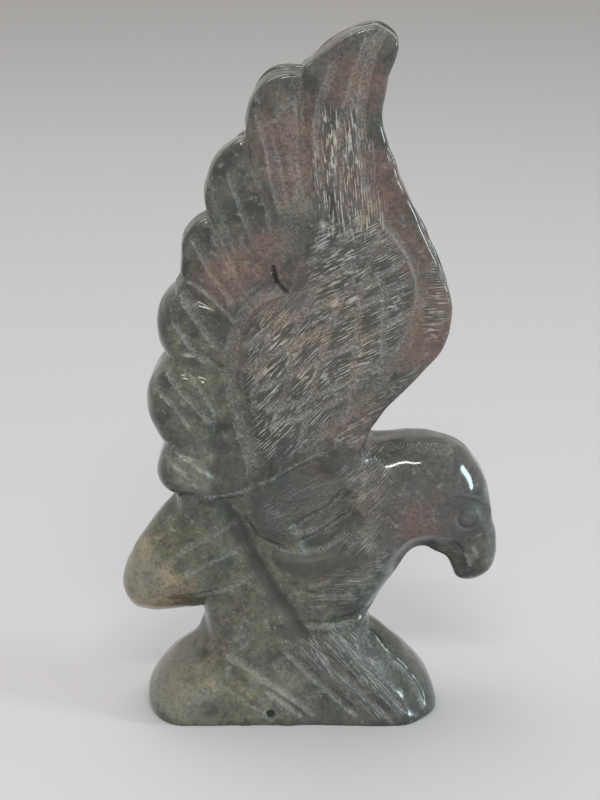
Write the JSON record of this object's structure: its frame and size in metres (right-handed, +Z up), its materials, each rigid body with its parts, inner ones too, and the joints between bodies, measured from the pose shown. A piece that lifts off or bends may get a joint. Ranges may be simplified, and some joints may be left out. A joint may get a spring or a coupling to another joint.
{
  "type": "stone eagle carving",
  "caption": "Eagle with raised, slotted wings, a hooked beak and a low rounded tail, carved in one piece with the rock it perches on; rests on its sawn flat underside.",
  "frame": {"origin": "middle of the rock's flat underside", "axes": "+Z up, from the underside of the rock to the tips of the wings; +X the way the eagle faces, towards its beak; +Y across the slab that it is carved from, away from its near face"},
  "size_m": [0.081, 0.0285, 0.1491],
  "materials": {
    "jasper": "polished"
  },
  "bodies": {
    "root": {"eagle_carving": "jasper"}
  },
  "joints": []
}
